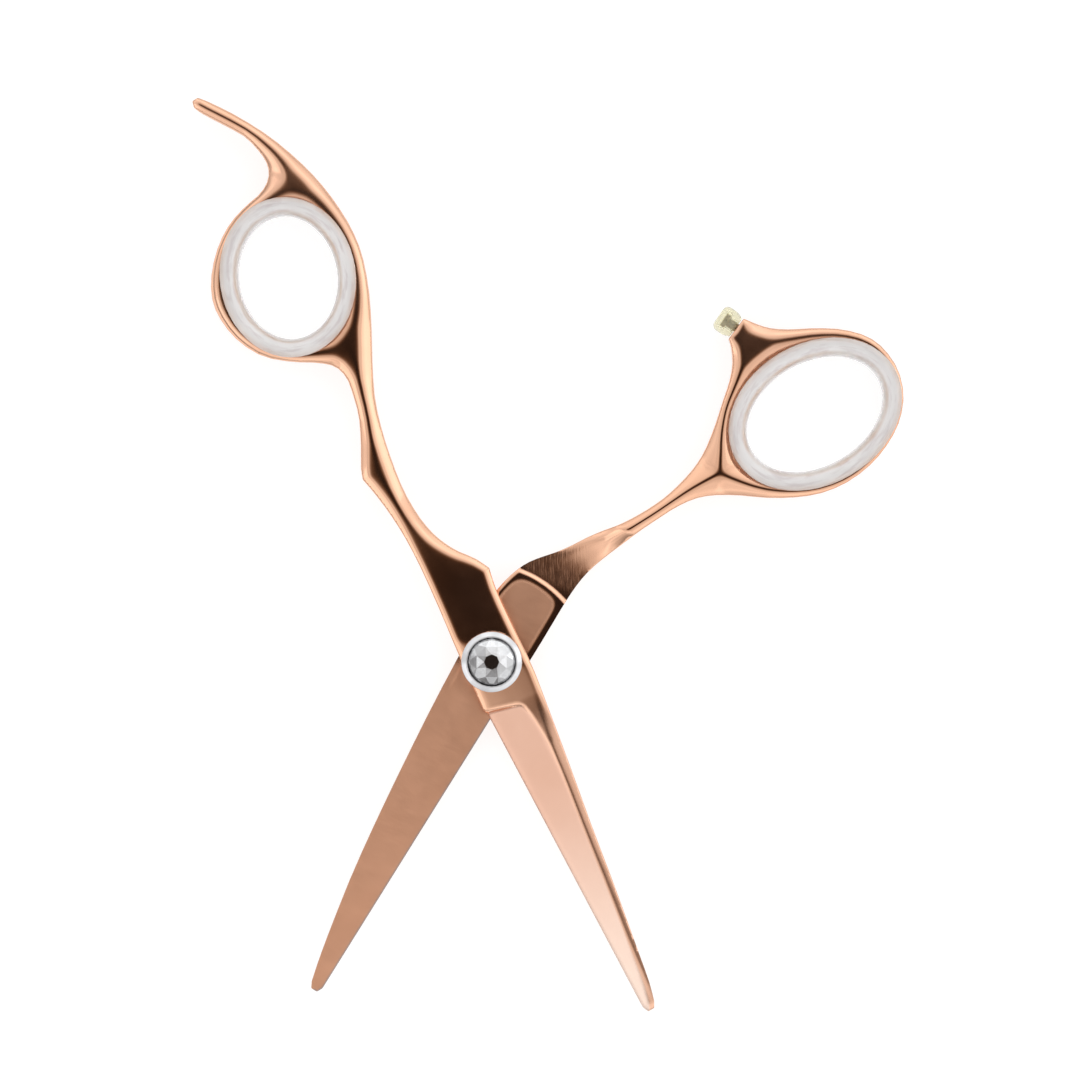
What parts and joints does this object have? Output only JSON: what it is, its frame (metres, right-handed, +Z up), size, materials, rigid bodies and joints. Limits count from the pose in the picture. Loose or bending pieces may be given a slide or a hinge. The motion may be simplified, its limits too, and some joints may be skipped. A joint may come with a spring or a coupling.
{
  "type": "hair cutting shears",
  "caption": "Right-handed hair cutting shears with offset rings, a fixed finger rest, ring inserts, a bumper and a jewelled pivot screw.",
  "frame": {"origin": "on the pivot axis, on the surface that the shears lie on, which is the flat underside of the back nut", "axes": "+Z up along the pivot, from the back nut to the jewelled screw; blade tips towards -Y, rings towards +Y, finger ring towards -X"},
  "size_m": [0.1118, 0.1437, 0.0093],
  "materials": {
    "rose_steel": "rose gold coating, polished handles and satin ground blade faces",
    "plain_steel": "turned, uncoated",
    "silver_rim": "polished",
    "crystal_glass": "faceted, clear",
    "foil": "mirror",
    "clear_silicone": "translucent, smooth",
    "bumper_rubber": "translucent, slightly yellow",
    "nylon": "matte",
    "bush_brass": "turned"
  },
  "bodies": {
    "finger_side": {"finger_half": "rose_steel", "finger_ring_insert": "clear_silicone", "pivot_bush": "bush_brass", "thrust_washer": "nylon", "wave_spring": "plain_steel"},
    "thumb_side": {"thumb_half": "rose_steel", "thumb_ring_insert": "clear_silicone", "bumper": "bumper_rubber", "bumper_stud": "plain_steel", "back_nut": "rose_steel"},
    "screw": {"tension_screw": "plain_steel", "bezel": "silver_rim", "crystal_foil": "foil", "crystal": "crystal_glass"}
  },
  "joints": [
    {"name": "pivot", "type": "hinge", "parent": "finger_side", "child": "thumb_side", "pos_m": [0, 0, 0.0035], "axis": [0, 0, -1], "range_deg": [-51, 85]},
    {"name": "tension_turn", "type": "hinge", "parent": "thumb_side", "child": "screw", "pos_m": [0, 0, 0.0035], "axis": [0, 0, 1], "range_deg": [-90, 90]}
  ]
}
